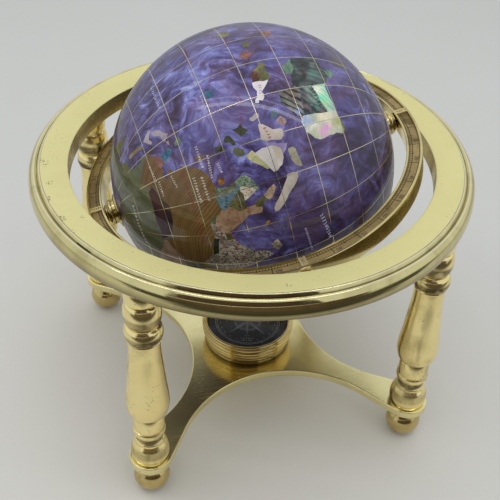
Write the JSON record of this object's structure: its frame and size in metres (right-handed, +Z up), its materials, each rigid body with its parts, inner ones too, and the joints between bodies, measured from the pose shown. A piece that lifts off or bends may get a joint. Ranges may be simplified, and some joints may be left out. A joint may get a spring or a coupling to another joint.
{
  "type": "table globe",
  "caption": "Table globe with an inlaid stone ball in a tilting ring on a four-legged brass stand with a compass.",
  "frame": {"origin": "on the stand's upright axis at the height of the ball feet's soles", "axes": "+Z up; the graduated ring tilts about Y, its south pole side is towards +X, and the legs stand on the diagonals between X and Y"},
  "size_m": [0.335, 0.335, 0.3234],
  "materials": {
    "lacquered_brass": "polished and lacquered, lightly worn",
    "antique_brass": "antique, dark in the engraved scale",
    "inlaid_stone": "polished stone and pearly resin inlay",
    "clear_glass": "clear",
    "printed_card": "matt dark blue print"
  },
  "bodies": {
    "stand": {"ball_foot_back_right": "lacquered_brass", "ball_foot_back_left": "lacquered_brass", "ball_foot_front_left": "lacquered_brass", "ball_foot_front_right": "lacquered_brass", "leg_back_right": "lacquered_brass", "leg_back_left": "lacquered_brass", "leg_front_left": "lacquered_brass", "leg_front_right": "lacquered_brass", "base_plate": "lacquered_brass", "compass_housing": "lacquered_brass", "compass_glass": "clear_glass", "compass_bezel": "lacquered_brass", "horizon_ring": "lacquered_brass", "gimbal_pivot_front": "lacquered_brass", "gimbal_pivot_back": "lacquered_brass"},
    "tilting_ring": {"graduated_ring": "antique_brass", "pole_pivot_north": "lacquered_brass", "pole_pivot_south": "lacquered_brass"},
    "ball": {"globe": "inlaid_stone"},
    "card": {"compass_card": "printed_card"}
  },
  "joints": [
    {"name": "ring_tilt", "type": "hinge", "parent": "stand", "child": "tilting_ring", "pos_m": [0, 0, 0.216], "axis": [0, 1, 0], "continuous": true},
    {"name": "globe_spin", "type": "hinge", "parent": "tilting_ring", "child": "ball", "pos_m": [0, 0, 0.216], "axis": [0.9778, 0, 0.2096], "continuous": true},
    {"name": "compass_turn", "type": "hinge", "parent": "stand", "child": "card", "pos_m": [0, -0.004, 0.0526], "axis": [0, 0, 1], "continuous": true}
  ]
}
